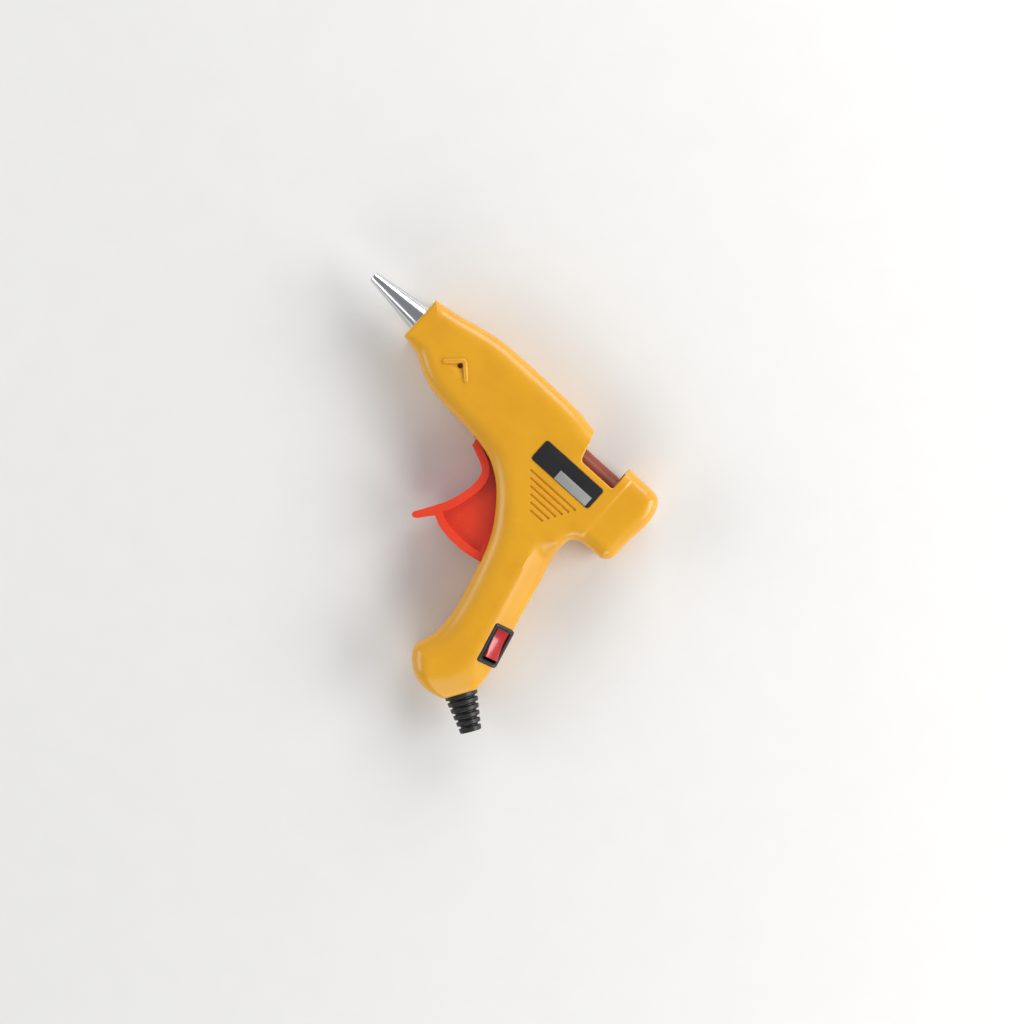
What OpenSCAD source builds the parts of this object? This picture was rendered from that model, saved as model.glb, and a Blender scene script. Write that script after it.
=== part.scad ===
// Small hot-melt glue gun for 7 mm sticks, lying on its right side.
// x runs rearwards along the barrel, y runs up the gun, z runs to the gun's left.
// The outline is drawn from the nozzle tip, and seat() moves the gun onto the floor.

/* [Housing] */
// Half of the gun's thickness, from the split plane to a flat side
half_width = 12.5; // [12.3:0.1:13]
// Thickness of the moulded wall
wall = 2; // [1.8:0.1:2.2]
// Slope of the bevel along the back of the handle, in degrees
back_tilt = 38; // [35:1:40]
// Slope of the bevel round the heel of the handle, in degrees
heel_tilt = 22; // [20:1:24]

/* [Nozzle and stick] */
// Length of the bare cone in front of the housing
cone_len = 25; // [24:0.5:26]
// Radius of the cone at its tip
tip_r = 2.05; // [2:0.05:2.3]
// Radius of the cone at its base
base_r = 5.7; // [5.5:0.1:5.8]
// Radius of the outlet that the glue leaves by
outlet_r = 1; // [0.8:0.1:1.2]
// Radius of the bore that takes the glue stick
stick_r = 3.75; // [3.7:0.05:3.85]

/* [Trigger] */
// How far the trigger turns, in degrees
squeeze = 18; // [16:1:18]
// Full width of the finger plate
plate_w = 14; // [13:0.5:14]
// Thickness of the web between the flanges
web_w = 9; // [7:0.5:10]

/* [Cord entry] */
// Radius of the hole through the strain relief
cord_r = 2.75; // [2.5:0.05:3]
// Length of the strain relief outside the housing
boot_len = 15.5; // [14:0.5:17]

/* [Label] */
// Length of the rating label
label_len = 29.3; // [26:0.1:30]
// Height of the rating label
label_w = 9.4; // [8:0.1:9.6]

/* [Hidden] */
$fn = 48;

// Footprint, for seating the gun with its middle over the origin
top_y = 14.7;
boot_root = [134, -98];
boot_turn = -33;
boot_end_r = 4.2;
boot_end = boot_root + boot_len * [cos(boot_turn), sin(boot_turn)];
far_x = boot_end[0] - boot_end_r * sin(boot_turn);
low_y = boot_end[1] - boot_end_r * cos(boot_turn);

// Outline runs, anticlockwise, each a smooth curve through its points
belly = [[25.3, -9.5], [32.4, -11.1], [35, -12.3], [40.5, -15.5], [47.2, -17.8], [58.5, -19.2],
         [66, -19.6], [74.5, -21]];
grip_front = [[74.5, -21], [81.7, -23.2], [88.4, -27.6], [94, -33.5], [99.5, -41.3],
              [103.2, -49.3], [107.5, -62.7], [110.5, -76.2], [110.9, -86], [109.3, -92]];
heel = [[109.3, -92], [108.4, -96.6], [112.2, -101.8], [117.5, -104.9], [124, -105.4],
        [130.5, -103.6]];
grip_back = [[137.5, -92.4], [136.4, -81.2], [132.7, -65.9], [127.8, -44.5], [125.7, -36],
             [124.9, -28.5], [126.6, -24.3], [131, -22.7], [139.5, -22.4]];
rear = [[139.5, -22.4], [142.4, -19.4], [142.9, -11], [143.8, -0.7], [142.8, 5.5], [140.2, 9.5],
        [136, 10.5]];
top = [[136, 10.5], [124.6, 10.7], [104.9, 12.5], [95.3, 14], [85, 14.5], [63.6, 14.7],
       [53.4, 14.2], [44.4, 12.6], [35.8, 10.7], [25.3, 9]];
// Straight runs that each span of a curve is drawn with
curve_steps = 2;

// Edge rounding: how far the outline shrinks at each height
round_z = [0.5 * half_width, 0.82 * half_width, half_width, half_width + 0.6];
round_in = [-0.05, 0.8, 2.4, 2.85];

// Window across the top of the rear, and the grooves under the label
window_front = 108.3;
window_rear = 124.6;
window_floor = 0.2;
groove_count = 6;
groove_pitch = 2.32;
groove_w = 1.1;
groove_depth = 0.7;

// Bevels: a point on the back one's straight ridge and the way it runs, then the middle, radius
// and reach of the heel one, which is part of a cone
back_ridge = [119.5, -46.5];
back_turn = -76.2;
heel_centre = [107.4, -83.3];
heel_ridge_r = 20.8;
heel_reach = 30;

// Trigger pivot, feed arm and feed travel
pivot = [94.4, -15.6];
arm_lean = squeeze / 2;
drive_x = pivot[0] - pivot[1] * tan(arm_lean);
feed = -2 * pivot[1] * tan(arm_lean);
sweep_r = 40.7;
shield_r = 22.6;
pin_r = 2;
arm_in = 6.2;
arm_out = 8.2;

// Carriage and gripper
carriage_front = 93;
carriage_rear = 132;
carriage_r = 5.5;
carriage_bore = 3.9;
guide_front = 132.8;
guide_rear = 142.4;
gripper_pivot = [104.5, -8];
gripper_pin_r = 0.8;

// Switch place: the middle of its bezel on the back bevel
switch_at = [131.05, -75];
switch_sink = 1.3;
bezel = [16.2, 10, 1.6];
switch_body = [14.2, 8.4, 9];
blade = [0.8, 3.2, 5];
blade_x = 4;
rocker_pivot_z = -2.6;
rocker_rest = 8;
rocker_len = 11.8;
rocker_w = 6.4;
stub_r = 0.8;

// Melt chamber and heater stack
chamber_r = 6.5;
chamber_front = 33;
chamber_rear = 74;
stack_y = -8.7;
pill = [22, 2.2, 8];
strip_t = 0.4;
foil_t = 0.25;

// Fasteners: where each self-tapping screw stands, and its radii
screw_at = [[58, 9.2], [60, -14.6], [96, 9.2], [135, -16.2], [118, -60.5], [116.2, -98.2]];
screw_core_r = 1.2;
screw_head_r = 2.2;
screw_seat = 8.6;
screw_head_h = 1.9;
post_r = 2.4;
socket_at = [49.2, -3.7];
socket_r = 1.05;
socket_depth = 4.4;

// Wiring in the handle
wire_r = 0.9;
block_at = [120.5, -79];
block_size = [14, 9, 4.8];
pole_y = 2.2;

// Cord clamp, square to the strain relief inside the heel
clamp_back = 11.5;
clamp_reach = 5.6;
clamp_z = 2.05;
clamp_t = 2.5;
function clamp_at(s) = boot_root - clamp_back * [cos(boot_turn), sin(boot_turn)]
                       + s * [-sin(boot_turn), cos(boot_turn)];

// A close fit, a running gap, and a length that reaches past everything
fit = 0.05;
gap = 0.3;
far = 60;

function unit(v) = v / norm(v);
function left_of(v) = [-v[1], v[0]];
// Point at t on the smooth curve between b and c, with neighbours a and d
function bend(a, b, c, d, t) =
    0.5 * (2 * b + (c - a) * t + (2 * a - 5 * b + 4 * c - d) * t * t
           + (3 * b - a - 3 * c + d) * t * t * t);
// Smooth curve through p, without its last point
function curve(p, n = curve_steps) =
    [for (i = [0 : len(p) - 2]) for (k = [0 : n - 1])
        bend(p[max(i - 1, 0)], p[i], p[i + 1], p[min(i + 2, len(p) - 1)], k / n)];
// Closed outline p moved inwards by d, square to its sides
function inset(p, d) =
    [for (i = [0 : len(p) - 1])
        let (a = left_of(unit(p[i] - p[(i + len(p) - 1) % len(p)])),
             b = left_of(unit(p[(i + 1) % len(p)] - p[i])),
             n = unit(a + b))
        p[i] + n * d / (n * b)];

outline = concat(curve(belly), curve(grip_front), curve(heel), [heel[len(heel) - 1]],
                 curve(grip_back), curve(rear), curve(top), [top[len(top) - 1]]);

// Depth behind the back ridge, and the height of the bevel there
function behind_ridge(p) = (p - back_ridge) * [-sin(back_turn), cos(back_turn)];
switch_z = half_width - behind_ridge(switch_at) * tan(back_tilt) - switch_sink;

module seat() translate([-far_x / 2, -(top_y + low_y) / 2, half_width]) children();
module along_x(x) translate([x, 0, 0]) rotate([0, 90, 0]) children();
module both_sides() { children(); mirror([0, 0, 1]) children(); }
module at_boot() translate(boot_root) rotate([0, 0, boot_turn]) rotate([0, 90, 0]) children();
module at_switch()
    translate([switch_at[0], switch_at[1], switch_z])
        rotate([0, 0, back_turn]) rotate([-back_tilt, 0, 0]) children();
module disc(at, r, z0, z1) translate([at[0], at[1], z0]) cylinder(r = r, h = z1 - z0);
module block(lo, hi) translate(lo) cube(hi - lo);
module rounded_bar(len, w, r, h)
    linear_extrude(h) {
        square([len - 2 * r, w], center = true);
        square([len, w - 2 * r], center = true);
        for (sx = [-1, 1], sy = [-1, 1]) translate([sx * (len / 2 - r), sy * (w / 2 - r)]) circle(r);
    }

// Triangles that join ring after ring of n points each; closed also joins the last to the first
function ring_walls(rings, n, closed = false) =
    [for (i = [0 : rings - (closed ? 1 : 2)]) for (k = [0 : n - 1])
        let (m = (k + 1) % n, a = i * n, b = ((i + 1) % rings) * n)
        each [[a + k, a + m, b + m], [a + k, b + m, b + k]]];
function end_caps(rings, n) =
    [[for (k = [n - 1 : -1 : 0]) k], [for (k = [0 : n - 1]) (rings - 1) * n + k]];

// Closed tube of radius r swept through the points p, which never run straight up z
module swept(p, r, sides = 8) {
    last = len(p) - 1;
    points = [for (i = [0 : last])
        let (t = unit(p[min(i + 1, last)] - p[max(i - 1, 0)]),
             s = unit(cross(t, [0, 0, 1])),
             u = cross(s, t))
        for (k = [0 : sides - 1]) p[i] + r * (cos(360 * k / sides) * s + sin(360 * k / sides) * u)];
    polyhedron(points, concat(ring_walls(last + 1, sides), end_caps(last + 1, sides)));
}

// Closed tube wound in a helix along x from x0 to x1, its rings cut by planes through the axis
module coil(x0, x1, r, wire_r, turns, steps = 12, sides = 6) {
    count = turns * steps;
    points = [for (i = [0 : count]) for (k = [0 : sides - 1])
        let (a = 360 * i / steps, c = r + wire_r * cos(360 * k / sides))
        [x0 + (x1 - x0) * i / count + wire_r * sin(360 * k / sides), c * cos(a), c * sin(a)]];
    polyhedron(points, concat(ring_walls(count + 1, sides), end_caps(count + 1, sides)));
}

// ---- Housing ----

// Solid half, its outer edge rounded off by a closed rim that is cut away round it
module blank() {
    rings = concat([for (j = [0 : len(round_z) - 1]) [round_in[j], round_z[j]]],
                   [[-1.5, half_width + 0.6], [-1.5, round_z[0]]]);
    points = [for (ring = rings) for (p = inset(outline, ring[0])) [p[0], p[1], ring[1]]];
    difference() {
        linear_extrude(half_width) polygon(outline);
        polyhedron(points, ring_walls(len(rings), len(outline), closed = true));
    }
}

// Space cut away above the two bevels, a plane and a cone, moved inwards by depth
module bevels(depth) {
    translate([back_ridge[0], back_ridge[1], half_width])
        rotate([0, 0, back_turn]) rotate([-back_tilt, 0, 0])
            translate([-15, -20, -depth]) cube([far, far, far]);
    translate([heel_centre[0], heel_centre[1], half_width - depth / cos(heel_tilt)])
        intersection() {
            rotate_extrude()
                polygon([[heel_ridge_r, 0],
                         [heel_ridge_r + heel_reach, -heel_reach * tan(heel_tilt)],
                         [heel_ridge_r + heel_reach, half_width], [heel_ridge_r, half_width]]);
            translate([0, -far, -far]) cube([far, far, 2 * far]);
        }
}

module cavity()
    difference() {
        union() {
            translate([0, 0, -1]) linear_extrude(0.6 * half_width + 1)
                offset(delta = -wall) polygon(outline);
            linear_extrude(half_width - wall) offset(delta = -1.8 * wall) polygon(outline);
        }
        bevels(wall);
    }

// Cross rib from x to x + wall, between the heights y0 and y1
module rib(x, y0, y1) block([x, y0, 0], [x + wall, y1, half_width]);

module ribs_and_posts() {
    rib(34, -20, 20);
    rib(62, -25, 20);
    rib(80, -7.5, 20);
    rib(101.5, -2.5, 20);
    rib(125.5, -25, 20);
    rib(guide_front, -25, 20);
    rib(guide_front + wall + 1.5, -25, 20);
    for (p = screw_at) {
        disc(p, post_r, 0, half_width);
        disc(p, post_r + 1, screw_seat - 1.5, half_width);
    }
    disc(pivot, 4, arm_out + gap / 2, half_width);
    disc(socket_at, 2.4, half_width - socket_depth - 1, half_width);
}

// Seats that the ribs have for the round parts on the barrel axis
module barrel_seats() {
    along_x(20) cylinder(r = base_r + gap, h = 12);
    along_x(33) cylinder(r = chamber_r + fit, h = 41);
    block([39, stack_y - 3.05, -7], [68, 0, 6 + fit]);
    along_x(74) cylinder(r = 5.7, h = 18);
    along_x(92) cylinder(r = carriage_r + gap, h = 41);
    along_x(guide_front) cylinder(r = 6 + fit, h = 20);
}

module window()
    translate([0, 0, -1]) linear_extrude(far)
        polygon([[window_front, window_floor], [window_rear, window_floor], [window_rear, 20],
                 [window_front - 6.2, 20]]);

// Slot that the trigger swings in, through the front wall of the handle
module trigger_slot()
    intersection() {
        translate([0, 0, -1]) linear_extrude(plate_w / 2 + 1 + gap)
            polygon([[71.4, -26], [71.4, -12], [92, -12], [103, -28], [114, -50], [106, -57.5],
                     [80, -57.5]]);
        disc(pivot, sweep_r + gap, -1, half_width);
    }

module boot_hole() {
    at_boot() translate([0, 0, -20]) cylinder(r = 4.5, h = 30);
    at_boot() translate([0, 0, -4.3]) cylinder(r = 6, h = 2.1);
}

// One half without the features of its own side
module shell_half()
    difference() {
        blank();
        bevels(0);
        difference() {
            cavity();
            ribs_and_posts();
        }
        barrel_seats();
        window();
        trigger_slot();
        boot_hole();
        disc(pivot, pin_r + 0.02, -1, half_width - wall + 0.3);
        disc(socket_at, socket_r, half_width - socket_depth, half_width + 1);
    }

// Sunk triangle under the chevron, round the stand-wire socket
module chevron_pocket()
    translate([0, 0, half_width - 0.8]) linear_extrude(1)
        polygon([[44.1, -7.1], [54.3, -7.1], [49.2, -2]]);
module chevron_rim()
    translate([0, 0, half_width - 0.5]) linear_extrude(1)
        polygon([[42.6, -7.1], [49.2, -0.5], [55.8, -7.1], [54.2, -7.1], [49.2, -2.1], [44.2, -7.1]]);
module grooves()
    for (i = [0 : groove_count - 1]) {
        x0 = 95.9 + 2.1 * i;
        x1 = 119.5 - 1.35 * i;
        translate([(x0 + x1) / 2, -15.4 - groove_pitch * i, half_width - groove_depth])
            rounded_bar(x1 - x0, groove_w, groove_w / 2 - 0.01, 2);
    }

module left_housing()
    color("goldenrod") {
        difference() {
            shell_half();
            for (p = screw_at) disc(p, screw_core_r + fit, -1, 8);
            chevron_pocket();
            grooves();
            translate([107.9, -7.2, half_width - 0.3])
                rounded_bar(label_len + 0.2, label_w + 0.2, 1.1, 2);
            at_switch() {
                translate([0, 0, bezel[2] / 2 + 5])
                    cube([bezel[0] + 0.4, bezel[1] + 0.4, bezel[2] + 10], center = true);
                cube([switch_body[0] + 0.2, switch_body[1] + 0.2, 30], center = true);
            }
        }
        chevron_rim();
    }

module right_housing()
    color("goldenrod") mirror([0, 0, 1]) {
        difference() {
            shell_half();
            for (p = screw_at) {
                disc(p, screw_core_r + 0.2, -1, half_width + 1);
                disc(p, screw_head_r + 0.2, screw_seat, half_width + 1);
            }
            chevron_pocket();
            grooves();
        }
        disc(spring_post, 1.2, 6.6, half_width - wall + 0.1);
        for (s = [-1, 1]) difference() {
            disc(clamp_at(s * clamp_reach), 2.2, -2, half_width - wall + 0.1);
            disc(clamp_at(s * clamp_reach), 1, -3, 6);
        }
    }

// ---- Barrel ----

module nozzle()
    color("silver") {
        rotate([0, 90, 0]) rotate_extrude()
            polygon([[outlet_r, 0], [tip_r - 0.3, 0], [tip_r, 0.4], [base_r, cone_len],
                     [base_r, 28], [4, 28], [4, 40], [1.5, 40], [1.5, 38], [2.3, 38], [2.3, 20],
                     [1.7, 20], [1.7, 5], [outlet_r, 3.5]]);
        along_x(28) difference() {
            cylinder(r = 6.3, h = 3.6, $fn = 6);
            translate([0, 0, -1]) cylinder(r = 3.5, h = 6);
        }
    }

module anti_drip_ball() color("lightgray") along_x(36.6) sphere(2);
module anti_drip_spring() color("lightgray") coil(20.35, 34.1, 1.7, 0.3, 6);

module melt_chamber()
    color("darkgray") difference() {
        union() {
            along_x(chamber_front) cylinder(r = chamber_r, h = 35);
            along_x(60) cylinder(r = 5.2, h = chamber_rear - 60);
            block([40, stack_y - 3, -6], [67, 0, 6]);
        }
        along_x(chamber_front - 1) cylinder(r = 4 + fit, h = 8.2);
        along_x(40) cylinder(r1 = 1.6, r2 = stick_r, h = 8);
        along_x(47.9) cylinder(r = stick_r, h = 30);
        block([42, stack_y - 1.85, -4.6], [70, stack_y + 1.85, 4.6]);
    }

module ptc_heater()
    color("dimgray") translate([56, stack_y, 0]) cube(pill, center = true);

// Two strips against the pill, each with a narrow tab to the rear
module heater_electrodes()
    color("gold") for (s = [-1, 1])
        translate([0, stack_y + s * (pill[1] + strip_t) / 2, 0]) {
            translate([56, 0, 0]) cube([23.4, strip_t, 7.6], center = true);
            translate([72, 0, s * 2]) cube([12, strip_t, 2.4], center = true);
        }

module heater_insulation()
    color("khaki") translate([55.7, stack_y, 0]) difference() {
        cube([25.4, 3.6, 9], center = true);
        cube([27, 3.6 - 2 * foil_t, 8.5], center = true);
    }

module inlet_sleeve()
    color("orangered") difference() {
        union() {
            along_x(68.2) cylinder(r = 6.4, h = 7.5);
            along_x(75) cylinder(r = 5.6, h = 12);
        }
        along_x(68) cylinder(r = 5.2, h = chamber_rear - 67.9);
        along_x(70) cylinder(r = carriage_bore, h = 20);
    }

module sleeve_ring()
    color("silver") along_x(71.4) rotate_extrude() translate([6.77, 0]) circle(0.36, $fn = 24);

module stick_guide()
    color("black") difference() {
        union() {
            along_x(guide_front) cylinder(r = 6, h = guide_rear - guide_front);
            along_x(guide_front + wall + fit) cylinder(r = 7.5, h = 1.4);
        }
        along_x(130) cylinder(r = stick_r, h = 20);
    }

// ---- Feed ----

module feed_carriage()
    color("firebrick") difference() {
        union() {
            along_x(carriage_front) cylinder(r = carriage_r, h = carriage_rear - carriage_front);
            both_sides() {
                disc([drive_x, 0], 1.5, 3, 8.8);
                block([102, -10, 2.1], [107, -3, 3.6]);
            }
        }
        along_x(carriage_front - 1) cylinder(r = carriage_bore, h = 60);
        block([101, -7, -2], [112, 0, 2]);
        disc(gripper_pivot, gripper_pin_r + 0.02, -5, 5);
    }

module stick_gripper()
    color("silver") difference() {
        translate([0, 0, -1.7]) linear_extrude(3.4)
            union() {
                polygon([[103, -11], [104.6, -11], [106.3, -8.5], [109.8, -4.8], [109.2, -4],
                         [108.4, -4.5], [107.7, -4], [106.9, -4.5], [106.2, -4], [104.8, -5.2],
                         [102.6, -8]]);
                translate(gripper_pivot) circle(2);
            }
        disc(gripper_pivot, gripper_pin_r + fit, -5, 5);
    }

module gripper_pin() color("silver") disc(gripper_pivot, gripper_pin_r, -4.3, 4.3);

finger_curve = [[72.7, -23.2], [76.7, -24.9], [80.5, -26.7], [82.7, -29], [83.5, -33],
                [82.4, -39.6], [80.6, -44.9], [78.2, -49.5], [73.1, -57.8]];
// Whole side view of the trigger: finger curve, tip, lower arc, back edge, top and shield arc
trigger_outline = concat(
    curve(finger_curve, 3),
    [[73.1, -57.8], [73.5, -59], [74.8, -59.3], [76, -58.5], [78.3, -55.6], [80.4, -53.2]],
    [for (a = [-104.4 : 4 : -72.4]) pivot + sweep_r * [cos(a), sin(a)]],
    [[99, -19], [90.4, -12.6], [76, -12.6]],
    [for (a = [172.4 : 6.5 : 198.4]) pivot + shield_r * [cos(a), sin(a)]]);
flange_t = 3.2;

module feed_arm()
    translate([pivot[0], pivot[1], arm_in]) rotate([0, 0, -arm_lean])
        linear_extrude(arm_out - arm_in) difference() {
            translate([-2.8, 1]) square([5.6, 17.4]);
            translate([-1.65, 13.4]) square([3.3, 8]);
        }

module trigger()
    color("orangered") difference() {
        union() {
            difference() {
                translate([0, 0, -plate_w / 2]) linear_extrude(plate_w) polygon(trigger_outline);
                both_sides() translate([0, 0, web_w / 2]) linear_extrude(plate_w)
                    offset(delta = -flange_t) polygon(trigger_outline);
            }
            disc(pivot, 4.5, -arm_out + 0.1, arm_out - 0.1);
            both_sides() feed_arm();
            disc(spring_stud, 0.9, -9.9, -arm_in);
        }
        disc(pivot, pin_r + fit, -20, 20);
    }

module trigger_pin() color("silver") disc(pivot, pin_r, -half_width + wall, half_width - wall);

spring_reach = 9.3;
spring_stud = pivot + spring_reach * [sin(arm_lean), cos(arm_lean)];
spring_post = [121, -6.6];
spring_z = -9.1;
spring_from = 100;
spring_turns = 30;
spring_pitch = 0.56;

// Close-wound coil with a leg to a loop at each end, on the trigger's stud and the housing's post
module return_spring()
    color("silver") translate([0, 0, spring_z]) {
        translate([spring_from, spring_post[1], 0]) rotate([0, 90, 0]) rotate_extrude()
            for (i = [0 : spring_turns - 1]) translate([0.85, i * spring_pitch]) circle(0.3, $fn = 16);
        spring_end(spring_stud, 1.3, spring_stud[0] + 1.2, spring_from + 0.2);
        spring_end(spring_post, 1.6, spring_post[0] - 1.5,
                   spring_from + spring_turns * spring_pitch - 0.8);
    }
// Loop of radius r round a post, and the leg from it to the coil's first or last turn
module spring_end(at, r, leg_from, leg_to) {
    translate(at) rotate_extrude() translate([r, 0]) circle(0.28, $fn = 16);
    translate([min(leg_from, leg_to), at[1], 0]) rotate([0, 90, 0])
        cylinder(r = 0.25, h = abs(leg_to - leg_from), $fn = 16);
    translate([leg_to - 0.15, at[1], -0.25]) cube([0.3, 1, 0.5]);
}

// ---- Switch and wiring ----

module switch_frame()
    color("black") at_switch() difference() {
        union() {
            translate([0, 0, bezel[2] / 2]) cube(bezel, center = true);
            translate([0, 0, -switch_body[2] / 2]) cube(switch_body, center = true);
        }
        cube([rocker_len + 1.4, rocker_w + 0.4, 12.8], center = true);
        translate([0, 0, rocker_pivot_z]) rotate([90, 0, 0])
            cylinder(r = stub_r + fit, h = rocker_w + 1.8, center = true);
    }

module switch_rocker()
    color("red") at_switch() translate([0, 0, rocker_pivot_z]) rotate([0, -rocker_rest, 0])
        rotate([90, 0, 0]) {
            translate([0, 0, -rocker_w / 2]) linear_extrude(rocker_w)
                polygon([[5.9, 4.6], [3, 4.1], [0, 3.9], [-3, 4.1], [-5.9, 4.6], [-6.1, 0.5],
                         [-1.5, -2.6], [1.5, -2.6], [6.1, 0.5]]);
            cylinder(r = stub_r, h = rocker_w + 1.5, center = true);
        }

module switch_terminals()
    color("gold") at_switch() for (s = [-1, 1])
        translate([s * blade_x, 0, -switch_body[2] - blade[2] / 2]) cube(blade, center = true);

// From the switch, up the back of the handle and along the left of the feed to the upper strip
wire_switched_way = [[121.9, -71.4, -2.4], [121.9, -67, -0.5], [123.2, -61, 1.8], [123.4, -55, 2.6],
                     [122.8, -46, 3], [121.6, -37, 3], [120.3, -29, 3.6], [117, -22, 5.6],
                     [111, -14.8, 8.3], [104, -10.8, 9.3], [96, -9.5, 9.4], [88, -9.5, 9],
                     [84, -9.5, 6.6], [81.5, -9, 4], [79.2, -8, 2.4]];
module wire_switched() color("brown") swept(curve(wire_switched_way), wire_r);

// From the terminal block, up the handle on the right to the lower strip
wire_neutral_way = [[116.9, -71.4, -7.9], [118.2, -67.4, -7], [121.8, -63, -4.6], [123.4, -56.5, -3],
                    [122.8, -46, -3], [121.6, -37, -3], [120.3, -29, -3.6], [117, -22.6, -5.6],
                    [111, -15.6, -8.4], [104, -11.6, -9.3], [96, -10.4, -9.4], [88, -10.4, -9],
                    [84, -10.6, -6.6], [81.5, -10.6, -4], [79.2, -10.2, -2.4]];
module wire_neutral() color("royalblue") swept(curve(wire_neutral_way), wire_r);

// From the terminal block round the upper blade to the lower one, drawn in the switch's own frame
wire_live_way = [[-6.5, 2.8, -17.2], [-8.5, 3.4, -16.4], [-9, 3.6, -13.6], [-6.5, 3.6, -11.2],
                 [-3, 3.6, -11], [0.5, 3, -11.4], [2.6, 1.4, -12]];
module wire_live() color("brown") at_switch() swept(curve(wire_live_way), wire_r);

module at_block()
    translate([block_at[0], block_at[1], -half_width + wall]) rotate([0, 0, back_turn]) children();

module terminal_block()
    color("white") at_block() difference() {
        translate([-block_size[0] / 2, -block_size[1] / 2, 0]) cube(block_size);
        for (s = [-1, 1]) {
            translate([-10, s * pole_y, 2.2]) rotate([0, 90, 0]) cylinder(r = 1.1, h = 20);
            for (t = [-4, 4]) disc([t, s * pole_y], 1.3, 2.2, 6);
        }
    }

module terminal_screws()
    color("silver") at_block() for (s = [-1, 1], t = [-4, 4])
        disc([t, s * pole_y], 1.2, 3.35, 4.7);

module cord_clamp()
    color("white") difference() {
        translate([clamp_at(0)[0], clamp_at(0)[1], clamp_z]) rotate([0, 0, boot_turn])
            translate([-2.3, -6.9, 0]) cube([4.6, 13.8, clamp_t]);
        at_boot() translate([0, 0, -20]) cylinder(r = cord_r + 0.15, h = 20);
        for (s = [-1, 1]) disc(clamp_at(s * clamp_reach), 1.2, 0, 10);
    }

module cord_clamp_screws()
    color("silver") for (s = [-1, 1]) {
        disc(clamp_at(s * clamp_reach), 0.95, -5, clamp_z + clamp_t + 0.5);
        disc(clamp_at(s * clamp_reach), 1.9, clamp_z + clamp_t, clamp_z + clamp_t + 1.5);
    }

rib_count = 5;
rib_pitch = 2.7;
// Radius of the strain relief's tapered body at t along it
function boot_r(t) = 6.6 + (boot_end_r - 6.6) * t / boot_len;

module strain_relief()
    color("black") at_boot() rotate_extrude()
        polygon(concat(
            [[cord_r, -6.5], [4, -6.5], [4, -4.2], [5.8, -4.2], [5.8, -2.3], [4.4, -2.3],
             [4.4, fit], [boot_r(0), fit]],
            [for (i = [0 : rib_count - 1]) let (t = 1.7 + rib_pitch * i)
                each [[boot_r(t), t], [boot_r(t) - 1.1, t + 0.2],
                      [boot_r(t + 1.1) - 1.1, t + 0.9], [boot_r(t + 1.1), t + 1.1]]],
            [[boot_end_r, boot_len], [cord_r, boot_len]]));

// ---- Fasteners and label ----

module housing_screws()
    color("silver") mirror([0, 0, 1]) for (p = screw_at) {
        disc(p, screw_core_r, -7.6, screw_seat + 0.5);
        difference() {
            disc(p, screw_head_r, screw_seat, screw_seat + screw_head_h);
            for (turn = [0, 90]) translate([p[0], p[1], screw_seat + screw_head_h])
                rotate([0, 0, turn]) cube([2.6, 0.6, 1.6], center = true);
        }
    }

module rating_label()
    color("black") translate([107.9, -7.2, half_width - 0.3]) rounded_bar(label_len, label_w, 1, 0.45);
module label_sticker()
    color("gainsboro") translate([105, -11.8, half_width + 0.15]) cube([16, 4.1, 0.12]);

seat() left_housing();
seat() right_housing();
seat() nozzle();
seat() anti_drip_ball();
seat() anti_drip_spring();
seat() melt_chamber();
seat() ptc_heater();
seat() heater_electrodes();
seat() heater_insulation();
seat() inlet_sleeve();
seat() sleeve_ring();
seat() stick_guide();
seat() feed_carriage();
seat() stick_gripper();
seat() gripper_pin();
seat() trigger();
seat() trigger_pin();
seat() return_spring();
seat() switch_frame();
seat() switch_rocker();
seat() switch_terminals();
seat() wire_switched();
seat() wire_neutral();
seat() wire_live();
seat() terminal_block();
seat() terminal_screws();
seat() cord_clamp();
seat() cord_clamp_screws();
seat() strain_relief();
seat() housing_screws();
seat() rating_label();
seat() label_sticker();
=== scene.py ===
"""Glue gun: the surfaces, finishes and studio stage that dress its CAD frame."""

import math

import bmesh
import bpy
import numpy as np
from bpy.props import FloatProperty, FloatVectorProperty, PointerProperty
from mathutils import Matrix, Vector


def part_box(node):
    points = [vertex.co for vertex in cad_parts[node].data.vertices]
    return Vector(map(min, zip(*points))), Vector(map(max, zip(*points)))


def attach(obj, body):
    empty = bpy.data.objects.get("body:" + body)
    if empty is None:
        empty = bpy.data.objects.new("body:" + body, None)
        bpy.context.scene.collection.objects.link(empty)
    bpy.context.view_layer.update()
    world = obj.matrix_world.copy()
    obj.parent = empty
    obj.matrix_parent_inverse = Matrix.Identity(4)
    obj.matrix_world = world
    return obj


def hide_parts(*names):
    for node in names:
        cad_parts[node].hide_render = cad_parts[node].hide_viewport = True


bl_info = {
    "name": "Glue Gun",
    "version": (1, 0, 0),
    "blender": (4, 5, 0),
    "location": "3D View > Sidebar > Glue Gun",
    "description": "Builds the shells, nozzle, trigger, switch and boot of a small glue gun",
    "category": "Object",
}

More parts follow.
